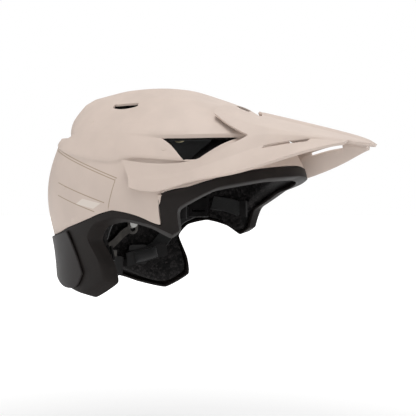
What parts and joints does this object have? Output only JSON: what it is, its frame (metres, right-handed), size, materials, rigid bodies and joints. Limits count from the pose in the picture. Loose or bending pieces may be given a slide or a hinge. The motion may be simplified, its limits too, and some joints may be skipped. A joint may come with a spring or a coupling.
{
  "type": "mountain bike helmet",
  "caption": "Open-face trail helmet with a foam liner in a painted shell, a tilting visor, deep rear coverage, a nape dial that draws in two bands, and stowed chin straps.",
  "frame": {"origin": "middle of the head cavity, level with its widest ring, where a head fills it", "axes": "+X to the visor, +Y to the wearer's left, +Z to the crown"},
  "size_m": [0.3601, 0.2188, 0.2165],
  "materials": {
    "shell_paint": "matt sand paint on a thin moulded shell",
    "black_shell": "matt black moulded shell",
    "cover_plastic": "satin black cover",
    "foam": "black bead foam",
    "liner_plastic": "smooth dark low friction sheet",
    "elastomer": "soft elastomer",
    "elastomer_black": "black soft touch rubber",
    "pad_fabric": "knitted wicking fabric over foam",
    "webbing": "flat woven webbing",
    "black_plastic": "moulded black nylon",
    "grey_plastic": "flexible grey nylon",
    "snap_plastic": "pale snap stud"
  },
  "bodies": {
    "helmet": {"foam_liner": "foam", "outer_shell": "shell_paint", "lower_shell": "black_shell", "rear_cover": "cover_plastic", "pivot_bushes": "black_plastic", "slip_liner": "liner_plastic", "liner_anchors": "elastomer", "brow_pad": "pad_fabric", "front_crown_pad": "pad_fabric", "rear_crown_pad": "pad_fabric", "side_pad_left": "pad_fabric", "side_pad_right": "pad_fabric", "strap_anchors": "black_plastic", "front_strap_left": "webbing", "front_strap_right": "webbing", "rear_strap_left": "webbing", "rear_strap_right": "webbing", "strap_divider_left": "black_plastic", "strap_divider_right": "black_plastic", "chin_strap_left": "webbing", "chin_strap_right": "webbing", "buckle_socket": "black_plastic", "buckle_tongue": "black_plastic", "cradle_snaps": "snap_plastic"},
    "visor": {"visor": "shell_paint", "visor_pins": "black_plastic"},
    "cradle": {"cradle_yoke": "grey_plastic", "dial_housing": "black_plastic"},
    "dial": {"dial_knob": "elastomer_black", "dial_pinion": "grey_plastic"},
    "band_left": {"band_left": "black_plastic", "nape_pad_left": "pad_fabric"},
    "band_right": {"band_right": "black_plastic", "nape_pad_right": "pad_fabric"}
  },
  "joints": [
    {"name": "visor_tilt", "type": "hinge", "parent": "helmet", "child": "visor", "pos_m": [0.026, 0, 0.014], "axis": [0, -1, 0], "range_deg": [0, 14]},
    {"name": "cradle_height", "type": "slide", "parent": "helmet", "child": "cradle", "axis": [0, 0, 1], "range_m": [-0.006, 0.006]},
    {"name": "dial_turn", "type": "hinge", "parent": "cradle", "child": "dial", "pos_m": [-0.089, 0, -0.076], "axis": [1, 0, 0], "range_deg": [0, 68]},
    {"name": "band_left_slide", "type": "slide", "parent": "cradle", "child": "band_left", "axis": [0, -1, 0], "range_m": [0, 0.005]},
    {"name": "band_right_slide", "type": "slide", "parent": "cradle", "child": "band_right", "axis": [0, 1, 0], "range_m": [0, 0.005]}
  ],
  "couplings": [
    {"joint": "band_left_slide", "follows": "dial_turn", "m_per_rad": 0.0042},
    {"joint": "band_right_slide", "follows": "dial_turn", "m_per_rad": 0.0042}
  ]
}
